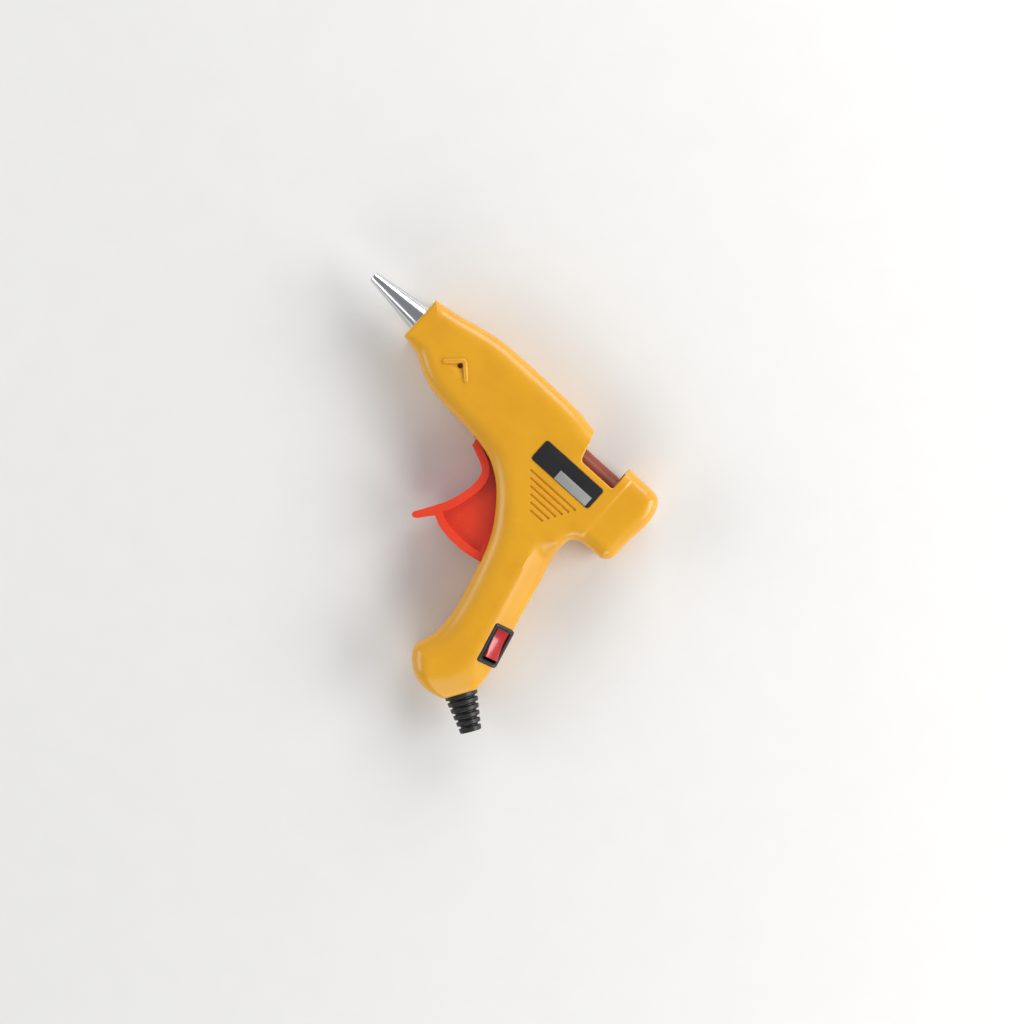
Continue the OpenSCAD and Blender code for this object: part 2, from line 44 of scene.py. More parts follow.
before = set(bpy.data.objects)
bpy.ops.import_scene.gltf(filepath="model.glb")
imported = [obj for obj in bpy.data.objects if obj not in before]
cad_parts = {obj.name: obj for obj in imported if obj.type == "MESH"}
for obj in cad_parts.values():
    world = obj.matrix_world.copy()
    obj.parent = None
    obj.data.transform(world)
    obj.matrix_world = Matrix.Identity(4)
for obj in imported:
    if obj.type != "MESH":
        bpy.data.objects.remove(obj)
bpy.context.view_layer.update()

# The gun's own millimetres start at the nozzle's tip: x rearwards, y up the gun, z to its left
_low, _high = (np.array(corner) * 1000 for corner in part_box("nozzle"))
TIP = np.array([_low[0], (_low[1] + _high[1]) / 2, (_low[2] + _high[2]) / 2])
HALF = 12.5  # half of the housing's thickness
WALL = 2.0
EDGE_POWER = 2.25  # power of the superellipse that rounds the edges
TOP_ROUNDING = 0.0085  # metres
SENSOR_WIDTH = 36

# Outline of the housing seen from its left, anticlockwise, as runs of a smooth curve
BELLY = [(25.3, -9.5), (32.4, -11.1), (35, -12.3), (40.5, -15.5), (47.2, -17.8), (58.5, -19.2),
         (66, -19.6), (74.5, -21)]
GRIP_FRONT = [(74.5, -21), (81.7, -23.2), (88.4, -27.6), (94, -33.5), (99.5, -41.3),
              (103.2, -49.3), (107.5, -62.7), (110.5, -76.2), (110.9, -86), (109.3, -92)]
HEEL = [(109.3, -92), (108.4, -96.6), (112.2, -101.8), (117.5, -104.9), (124, -105.4),
        (130.5, -103.6)]
GRIP_BACK = [(137.5, -92.4), (136.4, -81.2), (132.7, -65.9), (127.8, -44.5), (125.7, -36),
             (124.9, -28.5), (126.6, -24.3), (131, -22.7), (139.5, -22.4)]
REAR = [(139.5, -22.4), (142.4, -19.4), (142.9, -11), (143.8, -0.7), (142.8, 5.5), (140.2, 9.5),
        (136, 10.5)]
TOP = [(136, 10.5), (124.6, 10.7), (104.9, 12.5), (95.3, 14), (85, 14.5), (63.6, 14.7),
       (53.4, 14.2), (44.4, 12.6), (35.8, 10.7), (25.3, 9)]
# Middle lines: nose to elbow, elbow to heel, elbow to rear
NOSE_LINE = [(31.5, -0.3), (45, -1.2), (60, -2.4), (80, -4.5), (98, -8.5), (112, -17)]
HEEL_LINE = [(112, -17), (114, -30), (115.3, -45), (118.6, -60), (122.3, -76), (121.5, -92)]
REAR_LINE = [(112, -17), (120, -10.5), (128, -7), (135, -6)]

BACK_RIDGE, BACK_TURN, BACK_TILT = (119.5, -46.5), math.radians(-76.2), math.radians(38)
HEEL_CENTRE, HEEL_RIDGE_R, HEEL_TILT = (107.4, -83.3), 20.8, math.radians(22)
BOOT_ROOT, BOOT_TURN, BOOT_LEN = (134.0, -98.0), math.radians(-33), 15.5
SWITCH_AT, SWITCH_SINK = (131.05, -75.0), 1.3
PIVOT = (94.4, -15.6)
SCREWS = [(58, 9.2), (60, -14.6), (96, 9.2), (135, -16.2), (118, -60.5), (116.2, -98.2)]
LABEL_AT, LABEL_SIZE = (107.9, -7.2), (29.3, 9.4)
SOCKET_AT = (49.2, -3.7)


# ---- Curves and surfaces ----

def place(points):
    """Gun millimetres to the frame's metres: add the tip's place, then divide by 1000."""
    return (np.asarray(points, float) + TIP) / 1000


def smooth_line(points, steps=24):
    """Catmull-Rom curve: each span is a cubic, its end slopes half its neighbours' chord."""
    p = np.asarray(points, float)
    q = np.vstack([p[:1], p, p[-1:]])
    t = np.linspace(0, 1, steps, endpoint=False)[None, :, None]
    a, b, c, d = (q[i:len(q) - 3 + i, None] for i in range(4))
    spans = 0.5 * (2 * b + (c - a) * t + (2 * a - 5 * b + 4 * c - d) * t**2
                   + (3 * b - a - 3 * c + d) * t**3)
    return np.vstack([spans.reshape(-1, p.shape[1]), p[-1:]])


def lengths(line):
    """Running length along a line: the sum of its chords up to each point."""
    return np.concatenate([[0], np.cumsum(np.linalg.norm(np.diff(line, axis=0), axis=1))])


def at_length(line, s):
    """Points at lengths s along a line, straight between its points."""
    run = lengths(line)
    return np.stack([np.interp(s, run, line[:, k]) for k in range(line.shape[1])], -1)


def length_at(line, points):
    """Length along a line at its point nearest to each of the given points."""
    gap = np.linalg.norm(line[None] - np.asarray(points, float)[:, None], axis=2)
    return lengths(line)[gap.argmin(axis=1)]


def units(vectors):
    """Each vector divided by its own length."""
    return vectors / np.linalg.norm(vectors, axis=1, keepdims=True)


def left_of(ahead):
    """Each side-plane vector turned a quarter turn anticlockwise: (x, y) becomes (-y, x)."""
    return np.stack([-ahead[:, 1], ahead[:, 0]], -1)


def inset(loop, depth):
    """Closed loop moved inwards: each point goes along its mitre, by depth over its cosine."""
    left = left_of(units(np.roll(loop, -1, axis=0) - loop))
    mitre = units(left + np.roll(left, 1, axis=0))
    return loop + mitre * depth / np.sum(mitre * left, axis=1, keepdims=True)


def rounded(corners, radius, steps=8):
    """Closed loop whose corners are parabolas from radius before each corner to radius after it."""
    p = np.asarray(corners, float)
    back, on = units(np.roll(p, 1, axis=0) - p), units(np.roll(p, -1, axis=0) - p)
    t = np.linspace(0, 1, steps)[None, :, None]
    r = np.broadcast_to(np.asarray(radius, float), len(p))[:, None, None]
    a, c = p[:, None] + back[:, None] * r, p[:, None] + on[:, None] * r
    return ((1 - t)**2 * a + 2 * t * (1 - t) * p[:, None] + t**2 * c).reshape(-1, 2)


def rectangle(length, width, radius, at=(0, 0), steps=8):
    """Rounded rectangle about a point, anticlockwise."""
    x, y = length / 2, width / 2
    return rounded([(-x, -y), (x, -y), (x, y), (-x, y)], radius, steps) + np.asarray(at)


def circle(radius, at=(0, 0), steps=40):
    """Circle: centre plus radius times (cos, sin) of evenly spread angles."""
    a = np.linspace(0, 2 * np.pi, steps, endpoint=False)
    return np.stack([np.cos(a), np.sin(a)], -1) * radius + np.asarray(at)


def grid_faces(rows, columns, wrap_rows=False, wrap_columns=True, start=0):
    """Quads of a grid of points: (i, j), (i, j+1), (i+1, j+1), (i+1, j), each wrapped if asked."""
    i = np.arange(rows if wrap_rows else rows - 1)[:, None]
    j = np.arange(columns if wrap_columns else columns - 1)[None]
    m, n = (i + 1) % rows, (j + 1) % columns
    quads = np.stack([i * columns + j, i * columns + n, m * columns + n, m * columns + j], -1)
    return quads.reshape(-1, 4) + start


def stack(loops, capped=True):
    """Closed solid from loops of equal count: a grid, and a point at each end's middle."""
    rows = [np.asarray(loop, float) for loop in loops]
    if capped:
        rows = [np.broadcast_to(rows[0].mean(axis=0), rows[0].shape), *rows,
                np.broadcast_to(rows[-1].mean(axis=0), rows[-1].shape)]
    points = np.array(rows)
    return points.reshape(-1, 3), grid_faces(len(rows), points.shape[1], wrap_rows=not capped)


def flat(loop, z):
    """Loop in the side plane lifted to height z."""
    return np.column_stack([loop, np.full(len(loop), float(z))])


def well(loop, low, surface, flare=0.2):
    """Cutter for a hole or recess from low up past a surface, with its mouth chamfered by flare."""
    wide = inset(loop, -flare)
    return stack([flat(loop, low), flat(loop, surface - flare), flat(wide, surface),
                  flat(wide, surface + 3)])


def turned(profile, origin=(0, 0, 0), axis=(1, 0, 0), sides=72, closed=False):
    """Lathe: origin + along * axis + radius * (cos a * u + sin a * v), for each (along, radius)."""
    w = np.asarray(axis, float) / np.linalg.norm(axis)
    u = np.cross(w, (0, 0, 1) if abs(w[2]) < 0.9 else (1, 0, 0))
    u /= np.linalg.norm(u)
    v = np.cross(w, u)
    a = np.linspace(0, 2 * np.pi, sides, endpoint=False)[None, :, None]
    along, radius = (np.asarray(profile, float)[:, k, None, None] for k in (0, 1))
    points = np.asarray(origin, float) + along * w + radius * (np.cos(a) * u + np.sin(a) * v)
    return points.reshape(-1, 3), grid_faces(len(profile), sides, wrap_rows=closed)


def soft_window(loop, low, surface, radius, steps=6):
    """Cutter whose mouth opens in a quarter circle, so the edge that it leaves is rounded."""
    a = np.linspace(0, np.pi / 2, steps)
    rows = [flat(inset(loop, -radius * (1 - np.cos(t))), surface - radius + radius * np.sin(t))
            for t in a]
    return stack([flat(loop, low), *rows, flat(inset(loop, -radius), surface + 3)])


def fillets(profile, radius, steps=5, closed=False):
    """Polyline with each inner corner replaced by a parabola, no longer than 0.45 of its sides."""
    p = np.asarray(profile, float)
    if not closed:
        p = np.vstack([2 * p[0] - p[1], p, 2 * p[-1] - p[-2]])
    back, on = np.roll(p, 1, axis=0) - p, np.roll(p, -1, axis=0) - p
    bl, ol = (np.linalg.norm(v, axis=1, keepdims=True) for v in (back, on))
    r = np.minimum(radius, 0.45 * np.minimum(bl, ol))
    t = np.linspace(0, 1, steps)[None, :, None]
    a, c = p + back / bl * r, p + on / ol * r
    out = (1 - t)**2 * a[:, None] + 2 * t * (1 - t) * p[:, None] + t**2 * c[:, None]
    if closed:
        return out.reshape(-1, 2)
    return np.vstack([p[1:2], out[2:-2].reshape(-1, 2), p[-2:-1]])


def edge_rows(depth, steps=5):
    """Quarter circle of radius depth as (inset, drop) pairs, from the side wall to the top."""
    a = np.linspace(0, np.pi / 2, steps)
    return list(zip(depth * (1 - np.cos(a)), depth * (1 - np.sin(a))))


def plate(size, corner, at, low, high, edge, steps):
    """Flat rounded rectangle from low to high, its top edge a quarter circle of radius edge."""
    rows = [flat(rectangle(*size, corner, at), low)]
    rows += [flat(rectangle(size[0] - 2 * i, size[1] - 2 * i, corner, at), high - d)
             for i, d in edge_rows(edge, steps)]
    return stack(rows)


def soft_min(a, b, blend):
    """The smaller of a and b, rounded by a parabola where they come within blend of each other."""
    h = np.clip(0.5 + (b - a) / (2 * blend), 0, 1)
    return b * (1 - h) + a * h - blend * h * (1 - h)


def ease(x):
    """Smooth step from 0 to 1: 3x^2 - 2x^3 with x held between 0 and 1."""
    x = np.clip(x, 0, 1)
    return x * x * (3 - 2 * x)


# ---- Meshes ----

def mesh_of(name, parts):
    """One mesh from (points, faces) parts in gun millimetres, merged, with outward normals."""
    points = np.vstack([p for p, _ in parts])
    starts = np.cumsum([0] + [len(p) for p, _ in parts[:-1]])
    faces = np.vstack([f + s for (_, f), s in zip(parts, starts)])
    mesh = bpy.data.meshes.new(name)
    mesh.from_pydata(place(points).tolist(), [], faces.tolist())
    work = bmesh.new()
    work.from_mesh(mesh)
    bmesh.ops.remove_doubles(work, verts=work.verts, dist=1e-6)
    bmesh.ops.dissolve_degenerate(work, edges=work.edges, dist=1e-7)
    bmesh.ops.recalc_face_normals(work, faces=work.faces)
    work.to_mesh(mesh)
    work.free()
    return mesh


def piece(name, mesh, material, body, nodes=(), sharp=38):
    """Object at the origin: smooth but for edges past the sharp angle, riding on a body."""
    obj = bpy.data.objects.new(name, mesh)
    bpy.context.scene.collection.objects.link(obj)
    mesh.materials.clear()
    mesh.materials.append(material)
    mesh.shade_smooth()
    mesh.set_sharp_from_angle(angle=math.radians(sharp))
    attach(obj, body)
    if nodes:
        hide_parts(*nodes)
    return obj


def combine(mesh, parts, operation):
    """The mesh with each part cut from it or joined to it in turn, by exact booleans."""
    target = bpy.data.objects.new("target", mesh)
    tools = [bpy.data.objects.new("tool", mesh_of("tool", [part])) for part in parts]
    for obj in (target, *tools):
        bpy.context.scene.collection.objects.link(obj)
    for tool in tools:
        step = target.modifiers.new("step", "BOOLEAN")
        step.object, step.operation, step.solver = tool, operation, "EXACT"
    done = bpy.data.meshes.new_from_object(
        target.evaluated_get(bpy.context.evaluated_depsgraph_get()))
    for obj in (target, *tools):
        old = obj.data
        bpy.data.objects.remove(obj)
        bpy.data.meshes.remove(old)
    if len(done.polygons) < 50:
        raise RuntimeError(f"the {operation.lower()} left {len(done.polygons)} faces")
    return done


def softened(name, node, width, material, body, angle=32):
    """A CAD node's own shape with its sharp edges rounded over by width, in millimetres."""
    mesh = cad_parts[node].data.copy()
    mesh.name = name
    work = bmesh.new()
    work.from_mesh(mesh)
    bmesh.ops.remove_doubles(work, verts=work.verts, dist=1e-6)
    bmesh.ops.dissolve_limit(work, angle_limit=math.radians(0.6), verts=work.verts,
                             edges=work.edges, delimit=set())
    work.to_mesh(mesh)
    work.free()
    obj = piece(name, mesh, material, body, (node,), sharp=angle)
    bevel = obj.modifiers.new("edges", "BEVEL")
    bevel.width, bevel.segments = width / 1000, 3
    bevel.limit_method, bevel.angle_limit = "ANGLE", math.radians(angle)
    bevel.harden_normals = True


# ---- Finishes ----

def surface_group():
    """Shared node group: blotches of colour, fine grain, scuffs and specks on a moulded surface."""
    group = bpy.data.node_groups.get("Worked surface")
    if group:
        return group
    group = bpy.data.node_groups.new("Worked surface", "ShaderNodeTree")
    for label, kind, value in (
            ("Place", "NodeSocketVector", None), ("Colour", "NodeSocketColor", (1, 1, 1, 1)),
            ("Shade", "NodeSocketColor", (0.5, 0.5, 0.5, 1)), ("Blotch", "NodeSocketFloat", 0.3),
            ("Roughness", "NodeSocketFloat", 0.3), ("Grain Size", "NodeSocketFloat", 1500.0),
            ("Grain Depth", "NodeSocketFloat", 0.1), ("Scuffs", "NodeSocketFloat", 0.3)):
        socket = group.interface.new_socket(label, in_out="INPUT", socket_type=kind)
        if value is not None:
            socket.default_value = value
    for label, kind in (("Colour", "NodeSocketColor"), ("Roughness", "NodeSocketFloat"),
                        ("Normal", "NodeSocketVector")):
        group.interface.new_socket(label, in_out="OUTPUT", socket_type=kind)
    new, link = group.nodes.new, group.links.new
    come, go = new("NodeGroupInput"), new("NodeGroupOutput")

    def noise(scale, detail, stretch=None, rough=0.55):
        node = new("ShaderNodeTexNoise")
        node.inputs["Scale"].default_value = scale
        node.inputs["Detail"].default_value = detail
        node.inputs["Roughness"].default_value = rough
        source = come.outputs["Place"]
        if stretch:
            mapping = new("ShaderNodeMapping")
            mapping.inputs["Scale"].default_value = stretch
            mapping.inputs["Rotation"].default_value = (0.2, 0.1, 0.6)
            link(source, mapping.inputs["Vector"])
            source = mapping.outputs["Vector"]
        link(source, node.inputs["Vector"])
        return node

    def limits(source, low, high):
        node = new("ShaderNodeMapRange")
        node.inputs["From Min"].default_value, node.inputs["From Max"].default_value = low, high
        link(source, node.inputs["Value"])
        return node.outputs["Result"]

    def maths(kind, a, b):
        node = new("ShaderNodeMath")
        node.operation = kind
        for k, value in enumerate((a, b)):
            if isinstance(value, (int, float)):
                node.inputs[k].default_value = value
            else:
                link(value, node.inputs[k])
        return node.outputs[0]

    blotch = limits(noise(70, 3).outputs["Fac"], 0.35, 0.7)
    grain = noise(1500, 2)
    link(come.outputs["Grain Size"], grain.inputs["Scale"])
    lines = limits(noise(120, 4, (0.35, 9.0, 0.35)).outputs["Fac"], 0.62, 0.78)
    patch = limits(noise(45, 2).outputs["Fac"], 0.45, 0.65)
    scuff = maths("MULTIPLY", maths("MULTIPLY", lines, patch), come.outputs["Scuffs"])
    speck = limits(noise(950, 1).outputs["Fac"], 0.74, 0.78)

    mix = new("ShaderNodeMix")
    mix.data_type = "RGBA"
    link(maths("MULTIPLY", blotch, come.outputs["Blotch"]), mix.inputs["Factor"])
    link(come.outputs["Colour"], mix.inputs["A"])
    link(come.outputs["Shade"], mix.inputs["B"])
    worn = new("ShaderNodeMix")
    worn.data_type, worn.blend_type = "RGBA", "MULTIPLY"
    worn.inputs["B"].default_value = (0.72, 0.7, 0.66, 1)
    link(maths("MULTIPLY", maths("ADD", maths("MULTIPLY", speck, 0.5), scuff),
               come.outputs["Scuffs"]), worn.inputs["Factor"])
    link(mix.outputs["Result"], worn.inputs["A"])
    link(worn.outputs["Result"], go.inputs["Colour"])
    rough = maths("ADD", come.outputs["Roughness"],
                  maths("ADD", maths("MULTIPLY", scuff, 0.35), maths("MULTIPLY", patch, 0.04)))
    link(rough, go.inputs["Roughness"])
    bump = new("ShaderNodeBump")
    bump.inputs["Distance"].default_value = 0.0002
    link(come.outputs["Grain Depth"], bump.inputs["Strength"])
    link(maths("SUBTRACT", grain.outputs["Fac"], maths("MULTIPLY", scuff, 0.5)),
         bump.inputs["Height"])
    link(bump.outputs["Normal"], go.inputs["Normal"])
    return group


def finish_of(name, colour, shade=None, blotch=0.35, roughness=0.3, grain=1500.0, depth=0.1,
              scuffs=0.3, metal=0.0, **fixed):
    """Material: the shared worked surface feeding a Principled BSDF with its own fixed values."""
    material = bpy.data.materials.get(name)
    if material:
        return material
    material = bpy.data.materials.new(name)
    material.use_nodes = True
    nodes, link = material.node_tree.nodes, material.node_tree.links.new
    shader = nodes["Principled BSDF"]
    where = nodes.new("ShaderNodeTexCoord")
    work = nodes.new("ShaderNodeGroup")
    work.node_tree = surface_group()
    colour = tuple(colour)[:3]
    shade = tuple(shade)[:3] if shade else tuple(0.78 * c for c in colour)
    for label, value in (("Colour", (*colour, 1)), ("Shade", (*shade, 1)), ("Blotch", blotch),
                         ("Roughness", roughness), ("Grain Size", grain), ("Grain Depth", depth),
                         ("Scuffs", scuffs)):
        work.inputs[label].default_value = value
    link(where.outputs["Object"], work.inputs["Place"])
    link(work.outputs["Colour"], shader.inputs["Base Color"])
    link(work.outputs["Roughness"], shader.inputs["Roughness"])
    link(work.outputs["Normal"], shader.inputs["Normal"])
    shader.inputs["Metallic"].default_value = metal
    for label, value in fixed.items():
        shader.inputs[label.replace("_", " ")].default_value = value
    return material


def housing_finish():
    colours = bpy.context.scene.glue_gun_colours
    return finish_of("Yellow moulded shell", colours.shell, colours.shell_shade, blotch=0.45,
                     roughness=0.34, grain=900, depth=0.05, scuffs=0.2, Coat_Weight=0.3,
                     Coat_Roughness=0.24, Subsurface_Weight=0.06, Subsurface_Scale=0.002,
                     Subsurface_Radius=(1.0, 0.5, 0.1))


def steel_finish():
    return finish_of("Bright steel", (0.56, 0.57, 0.58), roughness=0.3, grain=3000, depth=0.06,
                     scuffs=0.6, metal=1.0)


def black_finish():
    return finish_of("Black plastic", (0.012, 0.012, 0.014), (0.03, 0.03, 0.032), roughness=0.38,
                     grain=1800, depth=0.12, scuffs=0.4)


# ---- Housing ----

def outline_and_middle(gap=0.45):
    """Points round the outline and the middle-line point that each one faces.

    Each run of the outline is paired with a stretch of the middle lines, or with one end of
    them, by interpolating between pairs of matching lengths.
    """
    curves = [smooth_line(p) for p in (NOSE_LINE, HEEL_LINE, REAR_LINE)]
    nose, heel, rear = (
        at_length(line, np.linspace(0, lengths(line)[-1], 1 + round(lengths(line)[-1] / gap)))
        for line in curves)
    top, belly = smooth_line(TOP), np.vstack([smooth_line(BELLY)[:-1], smooth_line(GRIP_FRONT)])
    back = smooth_line(GRIP_BACK)
    base = np.vstack([smooth_line(HEEL), [GRIP_BACK[0]]])

    def facing(run, middle, pairs):
        s = lengths(middle)
        marks = length_at(run, [a for a, _ in pairs])
        at = length_at(middle, [b for _, b in pairs])
        return at_length(run, np.interp(s, at, marks))[:-1], middle[:-1]

    def fan(run, count, point):
        s = np.linspace(0, lengths(run)[-1], count)
        return at_length(run, s)[:-1], np.broadcast_to(point, (count - 1, 2))

    under = np.vstack([nose, heel[1:]])
    behind = np.vstack([heel[::-1], rear[1:]])
    over = np.vstack([rear[::-1], nose[::-1][1:]])
    runs = [
        facing(belly, under, [(BELLY[0], NOSE_LINE[0]), ((47.2, -17.8), (50, -1.5)),
                              ((66, -19.6), (70, -3.5)), ((81.7, -23.2), (93, -7)),
                              ((94, -33.5), (112, -19)), ((103.2, -49.3), (115.5, -46)),
                              ((110.5, -76.2), (122.3, -76)), (HEEL[0], HEEL_LINE[-1])]),
        fan(base, 150, heel[-1]),
        facing(back, behind, [(GRIP_BACK[0], HEEL_LINE[-1]), ((136.4, -81.2), (122.2, -82)),
                              ((132.7, -65.9), (119.8, -65)), ((127.8, -44.5), (115.3, -45)),
                              ((124.9, -28.5), (113, -24)), ((126.6, -24.3), (114, -15)),
                              ((131, -22.7), (122, -9.4)), (GRIP_BACK[-1], REAR_LINE[-1])]),
        fan(smooth_line(REAR), 130, rear[-1]),
        facing(top, over, [(TOP[0], REAR_LINE[-1]), ((124.6, 10.7), (121, -10)),
                           ((104.9, 12.5), (108, -14)), ((85, 14.5), (85, -5.2)),
                           ((63.6, 14.7), (63.6, -2.8)), (TOP[-1], NOSE_LINE[0])]),
        fan(np.array([TOP[-1], BELLY[0]], float), 60, nose[0]),
    ]
    return [np.vstack(side) for side in zip(*runs)]


def edge_distance(points, loop, chunk=1500):
    """Distance from each point to the closed loop, and the nearest chord's number and fraction."""
    start, step = loop, np.roll(loop, -1, axis=0) - loop
    size = np.sum(step**2, axis=1)
    near, where = np.empty(len(points)), np.empty(len(points))
    for k in range(0, len(points), chunk):
        off = points[k:k + chunk, None] - start[None]
        t = np.clip(np.sum(off * step, axis=2) / size, 0, 1)
        gap = np.sum((off - t[..., None] * step)**2, axis=2)
        best = gap.argmin(axis=1)
        rows = np.arange(len(best))
        near[k:k + chunk], where[k:k + chunk] = np.sqrt(gap[rows, best]), best + t[rows, best]
    return near, where


def plane_drop(points, ridge, turn, tilt):
    """Depth below the flat side of a plane that falls away beyond a ridge line."""
    beyond = (points - ridge) @ np.array([-math.sin(turn), math.cos(turn)])
    return beyond * math.tan(tilt)


def side_height(points):
    """Height of the flat side: the lowest of the side, the back plane and the heel cone, softly.

    The back plane fades in along its ridge, the cone starts at a round ridge and fades out up
    the handle, and the block behind the window is a step lower.
    """
    along = (points - BACK_RIDGE) @ np.array([math.cos(BACK_TURN), math.sin(BACK_TURN)])
    back = plane_drop(points, BACK_RIDGE, BACK_TURN, BACK_TILT) * ease((along + 17) / 9)
    off = points - HEEL_CENTRE
    past = np.where(off[:, 1] < 0, np.linalg.norm(off, axis=1), off[:, 0]) - HEEL_RIDGE_R
    heel = (past - 30 * ease((off[:, 1] - 5) / 12)) * math.tan(HEEL_TILT)
    height = soft_min(soft_min(HALF, HALF - back, 0.5), HALF - heel, 0.5)
    block = ease((points[:, 0] - 127.4) / 1.1) * ease((points[:, 1] + 23.5) / 4)
    return height - 0.5 * block


def edge_shape(loop):
    """Width and depth of the rounded edge at each outline point, eased from mark to mark."""
    scale = bpy.context.scene.glue_gun_sizes.edge_rounding / TOP_ROUNDING
    marks = [(BELLY[0], 1.6, 1.8), ((27.5, -9.9), 3.6, 4.5), ((33, -11.4), 6.4, 6.3),
             ((66, -19.6), 7.0, 6.4), ((88.4, -27.6), 9.0, 6.4), ((99.5, -41.3), 10.5, 6.6),
             ((107.5, -62.7), 10.5, 6.8), ((110.9, -86), 10.0, 6.8), ((112.2, -101.8), 8.0, 6.4),
             ((124, -105.4), 3.4, 3.6), ((130.5, -103.6), 1.4, 1.2), ((137.5, -92.4), 1.4, 1.2),
             ((136.4, -81.2), 1.6, 1.6), ((127.8, -44.5), 2.0, 1.8), ((125.4, -33), 4.2, 5.0),
             ((126.6, -24.3), 5.4, 6.0), ((139.5, -22.4), 6.0, 6.2), ((142.9, -11), 6.5, 6.4),
             ((142.8, 5.5), 6.5, 6.4), ((124.6, 10.7), 8.0, 6.5), ((63.6, 14.7), 8.5, 6.5),
             ((30, 9.7), 6.4, 6.3), ((27, 9.2), 3.6, 4.5), (TOP[-1], 1.6, 1.8)]
    at = length_at(loop, [m[0] for m in marks])
    order = np.argsort(at)
    wide, deep = (np.array([m[k] for m in marks])[order] for k in (1, 2))
    return (np.interp(lengths(loop), at[order], wide) * scale,
            np.interp(lengths(loop), at[order], deep))


def rounding_drop(near, where, width, depth):
    """Quarter of a superellipse: with x = 1 - distance / width held between 0 and 1, the drop is
    depth * (1 - (1 - x^n)^(1/n)), and n a little over 2 lets it meet the flat without a crease.
    """
    at = np.minimum(where.astype(int), len(width) - 1)
    t = where - at
    after = (at + 1) % len(width)
    w = width[at] * (1 - t) + width[after] * t
    h = depth[at] * (1 - t) + depth[after] * t
    x = 1 - np.clip(near / np.maximum(w, 0.2), 0, 1)
    return h * (1 - np.clip(1 - x**EDGE_POWER, 0, 1)**(1 / EDGE_POWER))


def shell_surface():
    """One half's closed wall: rows of points from the parting line over the edge to the middle
    line, and back inside it at the wall's depth.

    Outside height = side height - rounding drop. Inside height = the same at 2 mm less from
    the edge, lowered by the wall.
    """
    edge, middle = outline_and_middle()
    width, depth = edge_shape(edge)
    reach = np.linalg.norm(middle - edge, axis=1)
    way = (middle - edge) / reach[:, None]
    along = np.roll(edge, -1, axis=0) - np.roll(edge, 1, axis=0)
    square = units(left_of(along))
    slant = np.maximum(np.sum(way * square, axis=1), 0.35)
    theta = np.linspace(0, np.pi / 2, 19)[1:]
    first = np.minimum(width * 1.04 / slant, 0.85 * reach)[None] * (1 - np.cos(theta))[:, None]
    rest = first[-1] + (reach - first[-1]) * np.linspace(0, 1, 7)[1:, None]
    steps = np.vstack([np.zeros_like(reach)[None], first, rest])
    outside = edge[None] + way[None] * steps[..., None]
    spots = outside.reshape(-1, 2)
    near, where = edge_distance(spots, edge)
    top = (side_height(spots) - rounding_drop(near, where, width, depth)).reshape(steps.shape)

    skin = np.minimum(WALL * 1.15, 0.35 * reach)
    deeper = skin + (reach - skin) * (np.linspace(0, 1, 9)[:, None] ** 1.6)
    inside = edge[None] + way[None] * deeper[..., None]
    spots = inside.reshape(-1, 2)
    near, where = edge_distance(spots, edge)
    low = (side_height(spots) - WALL
           - rounding_drop(np.maximum(near - WALL, 0), where, np.maximum(width - WALL, 0.5),
                           np.maximum(depth - WALL, 0.5))).reshape(deeper.shape)

    def row(plan, height):
        return np.concatenate([plan, np.broadcast_to(height, reach.shape)[:, None]], axis=1)

    lip = bpy.context.scene.glue_gun_sizes.parting_groove * 1000
    rows = [row(edge + way * lip, 0.0), row(edge, lip), row(edge, top[0] * 0.4),
            row(edge, top[0] * 0.75)]
    rows += [row(p, z) for p, z in zip(outside, top)]
    count_out = len(rows)
    rows += [row(p, z) for p, z in zip(inside[::-1], low[::-1])]
    rows += [row(inside[0], low[0] * 0.5), row(inside[0], 0.0)]
    points = np.array(rows)
    columns = points.shape[1]
    faces = [grid_faces(count_out, columns),
             grid_faces(len(rows) - count_out, columns, start=count_out * columns)]
    j = np.arange(columns)
    n, last = (j + 1) % columns, (len(rows) - 1) * columns
    faces.append(np.stack([last + j, last + n, n, j], -1))
    return points.reshape(-1, 3), np.vstack(faces)


def mirrored(part):
    """The same part on the gun's other side: z becomes -z."""
    points, faces = part
    return points * (1, 1, -1), faces


def switch_frame_axes():
    """Origin and axes of the switch: x down the bevel, y across it, z out of it."""
    c, s = math.cos(BACK_TURN), math.sin(BACK_TURN)
    ct, st = math.cos(BACK_TILT), -math.sin(BACK_TILT)
    x, y, z = (c, s, 0), (-s * ct, c * ct, st), (s * st, -c * st, ct)
    drop = plane_drop(np.array([SWITCH_AT]), BACK_RIDGE, BACK_TURN, BACK_TILT)[0]
    return np.array([*SWITCH_AT, HALF - drop - SWITCH_SINK]), np.array([x, y, z])


def at_switch(part):
    """A part drawn in the switch's own axes, taken to its place on the bevel."""
    origin, axes = switch_frame_axes()
    points, faces = part
    return origin + points @ axes, faces


def boot_axis():
    return (math.cos(BOOT_TURN), math.sin(BOOT_TURN), 0)


